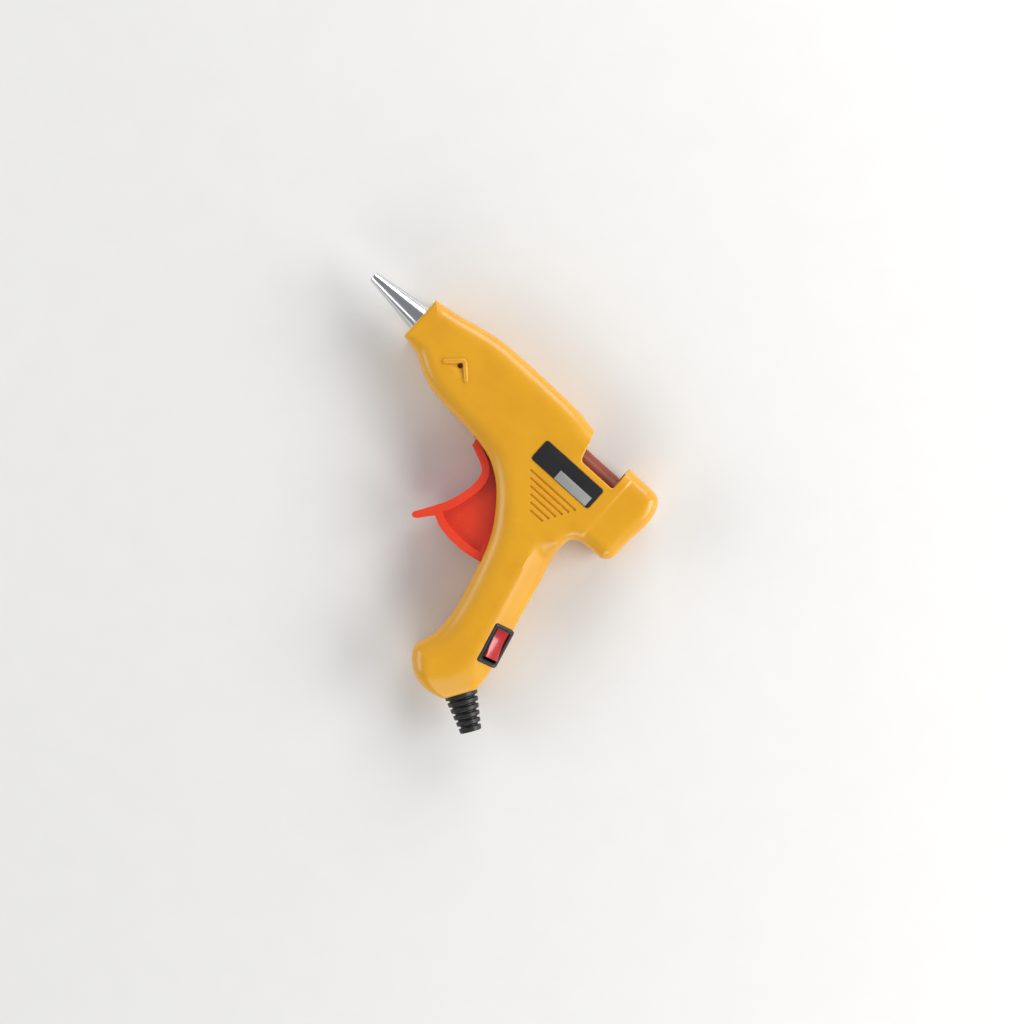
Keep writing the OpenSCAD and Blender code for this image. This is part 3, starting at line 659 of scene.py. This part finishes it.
def shared_cutters():
    """Window, trigger slot, grooves, chevron pocket, wire socket and the round openings."""
    sizes = bpy.context.scene.glue_gun_sizes
    window = rounded([(108.3, 0.2), (124.6, 0.2), (124.6, 24), (100.8, 24)], (1.6, 1.2, 0.5, 0.5))
    a = np.radians(np.linspace(-62, -116, 28))
    swing = np.vstack([[(71.0, -29), (71.4, -12), (92, -12), (103, -28)],
                       np.asarray(PIVOT) + 41.0 * np.stack([np.cos(a), np.sin(a)], -1)])[::-1]
    pocket = rounded([(44.6, -6.9), (53.8, -6.9), (49.2, -2.3)], 0.4, 4)
    floor = np.column_stack([pocket, HALF - 0.05 - 1.45 * (pocket[:, 1] + 6.9) / 4.6])
    i = np.arange(6)
    starts, ends, levels = 95.9 + 2.1 * i, 119.5 - 1.35 * i, -15.4 - 2.32 * i
    grooves = [well(rectangle(x1 - x0, 0.8, 0.36, ((x0 + x1) / 2, y), 6),
                    HALF - sizes.groove_depth * 1000, HALF, 0.35)
               for x0, x1, y in zip(starts, ends, levels)]
    return [
        soft_window(window, -1, HALF, 0.9),
        stack([flat(swing, -1), flat(swing, 8.3)]),
        stack([floor, flat(pocket, HALF + 2)]),
        stack([flat(circle(1.05, SOCKET_AT, 24), 8.1), flat(circle(1.05, SOCKET_AT, 24), HALF)]),
        turned([(19, 0), (19, 6), (27.5, 6), (27.5, 0)], sides=56),
        turned([(139, 0), (139, 6.05), (142, 6.05), (143.4, 7.2), (147, 7.2), (147, 0)], sides=56),
        turned([(-8, 0), (-8, 4.7), (3, 4.7), (3, 0)], (*BOOT_ROOT, 0), boot_axis(), 40),
        turned([(92, 0), (92, 5.8), (133, 5.8), (133, 0)], sides=56),
        *grooves,
    ]


def shell_ribs():
    """Cross walls beside the window: each follows the shell 1 mm under its outside."""
    edge, _ = outline_and_middle()
    ribs = []
    for x0, y0, y1 in ((101.5, -2.5, 11.6), (125.5, -19, 9.2), (132.8, -19, 9.2)):
        y = np.linspace(y0, y1, 30)
        tops = []
        for x in (x0, x0 + WALL):
            spots = np.stack([np.full_like(y, x), y], -1)
            near, where = edge_distance(spots, edge)
            tops.append(side_height(spots) - rounding_drop(near, where, *edge_shape(edge)) - 1)
        top = np.minimum(*tops)
        loop = np.vstack([[(y1, -0.01), (y0, -0.01)], np.stack([y, top], -1)])
        ribs.append(stack([np.column_stack([np.full(len(loop), x), loop])
                           for x in (x0, x0 + WALL)]))
    return ribs


class GLUEGUN_OT_shells(bpy.types.Operator):
    """Two housing halves: rounded shells with bevels, window, slot, grooves and recesses"""
    bl_idname = "glue_gun.shells"
    bl_label = "Housing halves"

    def execute(self, context):
        surface = shell_surface()
        yellow = housing_finish()
        switch = rectangle(16.6, 10.4, 1.3)
        body = rectangle(14.4, 8.6, 0.5)
        switch_cut = at_switch(stack([flat(body, -16), flat(body, -0.02), flat(switch, 0),
                                      flat(switch, 8)]))
        label = rectangle(LABEL_SIZE[0] + 0.25, LABEL_SIZE[1] + 0.25, 1.25, LABEL_AT)
        ribs, cuts = shell_ribs(), shared_cutters()
        mesh = combine(mesh_of("left_shell", [surface]), ribs, "UNION")
        mesh = combine(mesh, [*cuts, well(label, HALF - 0.3, HALF, 0.15), switch_cut],
                       "DIFFERENCE")
        mesh.name = "left_shell"
        piece("left_shell", mesh, yellow, "housing", ("left_housing",), 30)

        screws = [well(circle(2.4, at, 32), 6, HALF, 0.3) for at in SCREWS]
        mesh = combine(mesh_of("right_shell", [mirrored(surface)]),
                       [mirrored(rib) for rib in ribs], "UNION")
        mesh = combine(mesh, [mirrored(cut) for cut in [*cuts, *screws]], "DIFFERENCE")
        mesh.name = "right_shell"
        piece("right_shell", mesh, yellow, "housing", ("right_housing",), 30)

        cup = np.array([(7.1, 1.4), (8.58, 1.4), (8.58, 2.42), (10.2, 2.42), (10.2, 3.0),
                        (7.1, 3.0)])
        cups = [turned(cup * (-1, 1), (*at, 0), (0, 0, 1), 32, closed=True) for at in SCREWS]
        tube = np.array([(8.1, 0), (8.1, 1.05), (10.9, 1.05), (10.9, 2.2), (7.6, 2.2), (7.6, 0)])
        for side in (1, -1):
            cups.append(turned(tube * (side, 1), (*SOCKET_AT, 0), (0, 0, 1), 24))
        piece("screw_cups", mesh_of("screw_cups", cups), yellow, "housing",
              sharp=30)
        return {"FINISHED"}


class GLUEGUN_OT_chevron(bpy.types.Operator):
    """Raised chevron over the stand-wire socket"""
    bl_idname = "glue_gun.chevron"
    bl_label = "Chevron rib"

    def execute(self, context):
        path = fillets([(42.9, -7.0), (49.2, -0.9), (55.3, -7.1)], 1.5, 9)
        path = at_length(path, np.linspace(0, lengths(path)[-1], 60))
        left = left_of(units(np.gradient(path, axis=0)))
        s = lengths(path)
        taper = np.sqrt(np.clip(np.minimum(s, s[-1] - s) / 0.6, 0.0, 1))
        a = np.linspace(0, np.pi, 11)
        side, lift = np.append(np.cos(a), (-1, 1)) * 0.85, np.append(np.sin(a) * 0.6, (-0.3, -0.3))
        plan = path[:, None] + left[:, None] * side[None, :, None] * taper[:, None, None]
        height = HALF + lift[None] * np.where(lift > 0, taper[:, None], 1.0)
        rows = np.concatenate([plan, height[..., None]], axis=2)
        piece("chevron_rib", mesh_of("chevron_rib", [stack(rows)]), housing_finish(), "housing",
              sharp=50)
        return {"FINISHED"}


# ---- Barrel ----

class GLUEGUN_OT_nozzle(bpy.types.Operator):
    """Turned and polished nozzle with its hexagon, and the stick guide at the other end"""
    bl_idname = "glue_gun.nozzle"
    bl_label = "Nozzle and stick guide"

    def execute(self, context):
        profile = fillets([(3.5, 1.0), (0, 1.0), (0, 1.75), (0.35, 2.05), (23.6, 5.5), (25, 5.7),
                           (28, 5.7), (28, 4), (40, 4), (40, 1.5), (38, 1.5), (38, 2.3), (20, 2.3),
                           (20, 1.7), (5, 1.7)], 0.22, 4, closed=True)
        six = np.stack([np.cos(np.arange(6) * np.pi / 3), np.sin(np.arange(6) * np.pi / 3)], -1)
        hexagon = rounded(six * 6.3, 0.5, 4)
        nut = [np.column_stack([np.full(len(loop), x), loop]) for x, loop in
               ((28, hexagon * 0.97), (28.3, hexagon), (31.3, hexagon), (31.6, hexagon * 0.97))]
        metal = finish_of("Polished nozzle", (0.72, 0.73, 0.75), (0.6, 0.61, 0.63), blotch=0.5,
                          roughness=0.16, grain=2600, depth=0.04, scuffs=0.5, metal=1.0)
        piece("turned_nozzle", mesh_of("turned_nozzle",
              [turned(profile, sides=96, closed=True), stack(nut)]),
              metal, "housing", ("nozzle",), 35)
        ring = fillets([(132.8, 3.75), (141.4, 3.75), (142.4, 4.7), (142.4, 6), (136.25, 6),
                        (136.25, 7.5), (134.85, 7.5), (134.85, 6), (132.8, 6)], 0.35, closed=True)
        piece("guide_ring", mesh_of("guide_ring", [turned(ring, sides=80, closed=True)]),
              black_finish(), "housing", ("stick_guide",), 40)
        return {"FINISHED"}


# ---- Trigger ----

class GLUEGUN_OT_trigger(bpy.types.Operator):
    """Trigger with its rim, recessed web and rounded edges"""
    bl_idname = "glue_gun.trigger"
    bl_label = "Trigger"

    def execute(self, context):
        colours = context.scene.glue_gun_colours
        red = finish_of("Red moulded trigger", colours.trigger, colours.trigger_shade, blotch=0.4,
                        roughness=0.26, grain=1000, depth=0.06, scuffs=0.35, Coat_Weight=0.3,
                        Coat_Roughness=0.15, Subsurface_Weight=0.05, Subsurface_Scale=0.002)
        softened("squeeze_trigger", "trigger", 0.55, red, "trigger")
        return {"FINISHED"}


# ---- Switch, boot and label ----

class GLUEGUN_OT_switch(bpy.types.Operator):
    """Rocker switch: rounded bezel and body, and the dished rocker"""
    bl_idname = "glue_gun.switch"
    bl_label = "Rocker switch"

    def execute(self, context):
        colours = context.scene.glue_gun_colours
        rows = [flat(rectangle(13.6, 7.8, 0.4), -9), flat(rectangle(14.2, 8.4, 0.4), -8.7),
                flat(rectangle(14.2, 8.4, 0.4), -0.05), flat(rectangle(16.2, 10, 1.2), 0)]
        rows += [flat(rectangle(16.2 - 2 * i, 10 - 2 * i, 1.2), 1.6 - d)
                 for i, d in edge_rows(0.55)]
        rows += [flat(rectangle(13.2 + 0.7 - 2 * i, 6.8 + 0.7 - 2 * i, 0.6), 1.6 - d)
                 for d, i in edge_rows(0.35, 4)[::-1]]
        rows += [flat(rectangle(13.2, 6.8, 0.5), -6.3)]
        piece("switch_bezel", mesh_of("switch_bezel", [at_switch(stack(rows))]),
              finish_of("Grey-black bezel", colours.bezel, roughness=0.36, grain=1500, depth=0.1,
                        scuffs=0.4), "housing", ("switch_frame",), 40)

        x = np.linspace(5.9, -5.9, 25)
        dish = np.stack([x, 3.85 + 0.75 * (x / 5.9)**2], -1)
        loop = np.vstack([dish, fillets([(-5.9, 4.6), (-6.1, 0.5), (-1.5, -2.6), (1.5, -2.6),
                                         (6.1, 0.5), (5.9, 4.6)], 0.5, 5)[1:-1]])
        rest = math.radians(8)
        turn = np.array([(math.cos(rest), math.sin(rest)), (-math.sin(rest), math.cos(rest))])

        def slice_at(depth, y):
            plan = inset(loop, depth) @ turn
            return np.column_stack([plan[:, 0], np.full(len(plan), y), plan[:, 1] - 2.6])

        edge = edge_rows(0.4, 5)
        slices = [slice_at(i, 3.2 - d) for i, d in edge[::-1]] + [
            slice_at(i, d - 3.2) for i, d in edge]
        stub = turned([(-3.95, 0), (-3.95, 0.8), (3.95, 0.8), (3.95, 0)], (0, 0, -2.6),
                      (0, 1, 0), 24)
        piece("rocker", mesh_of("rocker", [at_switch(stack(slices)), at_switch(stub)]),
              finish_of("Red rocker", colours.rocker, roughness=0.2, grain=1200, depth=0.04,
                        scuffs=0.25, Coat_Weight=0.4, Coat_Roughness=0.1), "rocker",
              ("switch_rocker",), 35)
        return {"FINISHED"}


class GLUEGUN_OT_boot(bpy.types.Operator):
    """Ribbed, tapered boot where the lead leaves the heel"""
    bl_idname = "glue_gun.boot"
    bl_label = "Cable boot"

    def execute(self, context):
        def taper(t):
            return 6.6 - 2.4 * t / BOOT_LEN

        ribs = []
        for t in 1.7 + 2.7 * np.arange(5):
            ribs += [(t, taper(t)), (t + 0.2, taper(t) - 1.1), (t + 0.9, taper(t + 1.1) - 1.1),
                     (t + 1.1, taper(t + 1.1))]
        profile = fillets([(-6.5, 2.75), (-6.5, 4), (-4.2, 4), (-4.2, 5.8), (-2.3, 5.8),
                           (-2.3, 4.4), (0.02, 4.4), (0.02, 6.6), *ribs, (BOOT_LEN, 4.2),
                           (BOOT_LEN, 2.75)], 0.28, 5, closed=True)
        rubber = finish_of("Black boot", (0.008, 0.008, 0.009), (0.02, 0.02, 0.021), blotch=0.5,
                           roughness=0.42, grain=2200, depth=0.2, scuffs=0.5)
        piece("ribbed_boot", mesh_of("ribbed_boot",
              [turned(profile, (*BOOT_ROOT, 0), boot_axis(), 80, closed=True)]),
              rubber, "housing", ("strain_relief",), 45)
        return {"FINISHED"}


class GLUEGUN_OT_label(bpy.types.Operator):
    """Blank rating label with its silver strip"""
    bl_idname = "glue_gun.label"
    bl_label = "Rating label"

    def execute(self, context):
        film = finish_of("Black label film", (0.010, 0.010, 0.011), (0.02, 0.02, 0.022),
                         roughness=0.34, grain=2500, depth=0.05, scuffs=0.5, Coat_Weight=0.3)
        base = plate(LABEL_SIZE, 1.1, LABEL_AT, HALF - 0.3, HALF + 0.14, 0.1, 4)
        piece("label_plate", mesh_of("label_plate", [base]), film, "housing",
              ("rating_label",), 40)
        foil = finish_of("Silver strip", (0.62, 0.62, 0.6), (0.5, 0.5, 0.48), blotch=0.6,
                         roughness=0.34, grain=1800, depth=0.08, scuffs=0.5, metal=0.75)
        strip = plate((16, 4.1), 0.25, (113, -9.75), HALF + 0.1, HALF + 0.22, 0.05, 3)
        piece("label_strip", mesh_of("label_strip", [strip]), foil, "housing",
              ("label_sticker",), 40)
        return {"FINISHED"}


# ---- Inner parts ----

class GLUEGUN_OT_inner_parts(bpy.types.Operator):
    """Finishes for the parts inside and the screws, which keep their CAD shapes"""
    bl_idname = "glue_gun.inner_parts"
    bl_label = "Inner parts"

    def execute(self, context):
        # The carriage's colour is red plastic like the trigger's, darkened to red-brown: painted
        # shade for the shadow it sits in behind the window.
        brown = context.scene.glue_gun_colours.carriage
        steel = steel_finish()
        brass = finish_of("Stamped brass", (0.62, 0.42, 0.16), roughness=0.3, grain=2600,
                          depth=0.08, scuffs=0.6, metal=1.0)
        braid = dict(roughness=0.6, grain=5200, depth=0.5, scuffs=0.2)
        brown_braid = finish_of("Brown braid", (0.07, 0.025, 0.01), **braid)
        wares = {
            "feed_carriage": finish_of("Carriage red with painted shade", brown, roughness=0.4, grain=1400,
                                       depth=0.15, scuffs=0.4),
            "melt_chamber": finish_of("Cast aluminium", (0.5, 0.5, 0.51), roughness=0.5,
                                      grain=900, depth=0.35, scuffs=0.5, metal=1.0),
            "ptc_heater": finish_of("Fired ceramic", (0.06, 0.06, 0.065), roughness=0.6,
                                    grain=2000, depth=0.3),
            "heater_electrodes": brass,
            "heater_insulation": finish_of("Amber film", (0.45, 0.22, 0.03), roughness=0.25,
                                           grain=1200, depth=0.1),
            "inlet_sleeve": finish_of("Red silicone", (0.35, 0.03, 0.015), roughness=0.5,
                                      grain=1600, depth=0.2),
            "switch_terminals": brass,
            "wire_switched": brown_braid,
            "wire_live": brown_braid,
            "wire_neutral": finish_of("Blue braid", (0.01, 0.05, 0.28), **braid),
            "terminal_block": finish_of("Natural nylon", (0.62, 0.6, 0.52), roughness=0.45,
                                        grain=1300, depth=0.12, Subsurface_Weight=0.1,
                                        Subsurface_Scale=0.002),
            "cord_clamp": black_finish(),
            "housing_screws": finish_of("Blackened steel", (0.06, 0.06, 0.065), roughness=0.34,
                                        grain=2400, depth=0.15, scuffs=0.8, metal=1.0),
        }
        for name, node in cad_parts.items():
            node.data.materials.clear()
            node.data.materials.append(wares.get(name, steel))
        return {"FINISHED"}


# ---- Stage ----

class GLUEGUN_OT_stage(bpy.types.Operator):
    """Pale floor, soft lights and a camera that looks straight down on the gun's left side"""
    bl_idname = "glue_gun.stage"
    bl_label = "Studio stage"

    def execute(self, context):
        stage = context.scene.glue_gun_stage
        middle = place((101.7, -32.2, 0))
        turn = stage.camera_turn
        right = np.array([math.cos(turn), math.sin(turn), 0])
        up = np.array([-math.sin(turn), math.cos(turn), 0])

        size, count = 6.0, 13
        side = np.linspace(-size / 2, size / 2, count)
        x, y = np.meshgrid(side, side)
        mesh = bpy.data.meshes.new("floor")
        mesh.from_pydata(np.stack([x, y, np.full_like(x, -0.0002)], -1).reshape(-1, 3).tolist(), [],
                         grid_faces(count, count, wrap_columns=False).tolist())
        floor = bpy.data.objects.new("floor", mesh)
        context.scene.collection.objects.link(floor)
        mesh.materials.append(finish_of("Pale floor", (0.8, 0.8, 0.79), (0.77, 0.77, 0.76),
                                        roughness=0.55, grain=300, depth=0.02, scuffs=0.0))

        def lamp(name, spot, width, height, power, tint):
            data = bpy.data.lights.new(name, "AREA")
            data.shape, data.size, data.size_y = "RECTANGLE", width, height
            data.energy, data.color = power, tint
            obj = bpy.data.objects.new(name, data)
            context.scene.collection.objects.link(obj)
            obj.location = Vector(middle + spot)
            obj.rotation_mode = "QUATERNION"
            obj.rotation_quaternion = Vector(-spot).to_track_quat("-Z", "Y")

        for name, across, along, rise, share in (
                ("key", 0.85, -0.1, 0.44, 1.0), ("top", 0.35, 0.8, 0.4, 0.75),
                ("fill", -0.85, 0.1, 0.42, 0.5), ("low", 0.1, -0.85, 0.42, 0.5)):
            lamp(name, right * across + up * along + np.array([0, 0, rise]), 0.75, 0.42,
                 stage.key_power * share, (1.0, 0.985, 0.965))

        context.scene.view_settings.view_transform = "Standard"
        world = bpy.data.worlds.new("studio")
        world.use_nodes = True
        sky = world.node_tree.nodes["Background"]
        sky.inputs["Color"].default_value = (0.93, 0.95, 1.0, 1)
        sky.inputs["Strength"].default_value = stage.sky_strength
        context.scene.world = world

        data = bpy.data.cameras.new("camera")
        data.lens, data.sensor_width = stage.lens, SENSOR_WIDTH
        camera = bpy.data.objects.new("camera", data)
        context.scene.collection.objects.link(camera)
        height = stage.frame_width * stage.lens / SENSOR_WIDTH + middle[2]
        camera.matrix_world = Matrix.Translation((middle[0], middle[1], height)) @ (
            Matrix.Rotation(turn, 4, "Z"))
        context.scene.camera = camera
        return {"FINISHED"}


# ---- Settings, panel and run ----

class GlueGunSizes(bpy.types.PropertyGroup):
    edge_rounding: FloatProperty(
        name="Edge rounding", description="Width of the rounded edge along the barrel's top",
        default=TOP_ROUNDING, min=0.006, max=0.0095, subtype="DISTANCE", unit="LENGTH")
    parting_groove: FloatProperty(
        name="Parting groove", description="Half width of the fine line between the halves",
        default=0.00022, min=0.0, max=0.0005, subtype="DISTANCE", unit="LENGTH")
    groove_depth: FloatProperty(
        name="Groove depth", description="Depth of the finger grooves under the label",
        default=0.0007, min=0.0003, max=0.001, subtype="DISTANCE", unit="LENGTH")


def colour_of(label, words, value):
    return FloatVectorProperty(name=label, description=words, default=value, size=3, min=0, max=1,
                               subtype="COLOR")


class GlueGunColours(bpy.types.PropertyGroup):
    shell: colour_of("Shell", "Yellow of the housing", (0.74, 0.36, 0.008))
    shell_shade: colour_of("Shell shade", "Deeper yellow of its blotches", (0.64, 0.28, 0.004))
    trigger: colour_of("Trigger", "Red-orange of the trigger", (0.78, 0.05, 0.015))
    trigger_shade: colour_of("Trigger shade", "Deeper red of its blotches", (0.62, 0.03, 0.01))
    rocker: colour_of("Rocker", "Red of the rocker", (0.45, 0.012, 0.015))
    bezel: colour_of("Bezel", "Grey-black of the switch bezel", (0.022, 0.022, 0.025))
    # Carriage: red plastic like the trigger, darkened to red-brown as painted shade for the shadow
    # inside the window.
    carriage: colour_of("Carriage", "Red of the feed carriage, darkened by painted shade", (0.27, 0.038, 0.012))


class GlueGunStage(bpy.types.PropertyGroup):
    camera_turn: FloatProperty(
        name="Camera turn", description="Turn of the camera about its line of sight",
        default=math.radians(42), subtype="ANGLE", unit="ROTATION")
    lens: FloatProperty(name="Lens", description="Focal length in millimetres", default=85.0,
                        min=35, max=200)
    frame_width: FloatProperty(
        name="Frame width", description="Width that the camera takes in at the gun",
        default=0.3994, min=0.2, max=1.0, subtype="DISTANCE", unit="LENGTH")
    key_power: FloatProperty(name="Key light", description="Power of the main lamp", default=7.0,
                             min=0, max=100, subtype="POWER", unit="POWER")
    sky_strength: FloatProperty(name="Sky", description="Strength of the even light all round",
                                default=0.3, min=0, max=3, subtype="FACTOR")


class GLUEGUN_PT_panel(bpy.types.Panel):
    bl_label = "Glue Gun"
    bl_idname = "GLUEGUN_PT_panel"
    bl_space_type = "VIEW_3D"
    bl_region_type = "UI"
    bl_category = "Glue Gun"

    def draw(self, context):
        scene = context.scene
        for settings in (scene.glue_gun_sizes, scene.glue_gun_colours, scene.glue_gun_stage):
            part = self.layout.box()
            for key in settings.bl_rna.properties.keys():
                if key not in ("rna_type", "name"):
                    part.prop(settings, key)
        for operator in OPERATORS:
            self.layout.operator(operator.bl_idname)


OPERATORS = (GLUEGUN_OT_inner_parts, GLUEGUN_OT_shells, GLUEGUN_OT_chevron, GLUEGUN_OT_nozzle,
             GLUEGUN_OT_trigger, GLUEGUN_OT_switch, GLUEGUN_OT_boot, GLUEGUN_OT_label,
             GLUEGUN_OT_stage)
CLASSES = (GlueGunSizes, GlueGunColours, GlueGunStage, *OPERATORS, GLUEGUN_PT_panel)


def register():
    for cls in CLASSES:
        bpy.utils.register_class(cls)
    bpy.types.Scene.glue_gun_sizes = PointerProperty(type=GlueGunSizes)
    bpy.types.Scene.glue_gun_colours = PointerProperty(type=GlueGunColours)
    bpy.types.Scene.glue_gun_stage = PointerProperty(type=GlueGunStage)


def unregister():
    del bpy.types.Scene.glue_gun_stage
    del bpy.types.Scene.glue_gun_colours
    del bpy.types.Scene.glue_gun_sizes
    for cls in reversed(CLASSES):
        bpy.utils.unregister_class(cls)


def main():
    register()
    for operator in OPERATORS:
        getattr(bpy.ops.glue_gun, operator.bl_idname.split(".")[1])()
    bpy.context.view_layer.update()


if __name__ == "__main__":
    main()
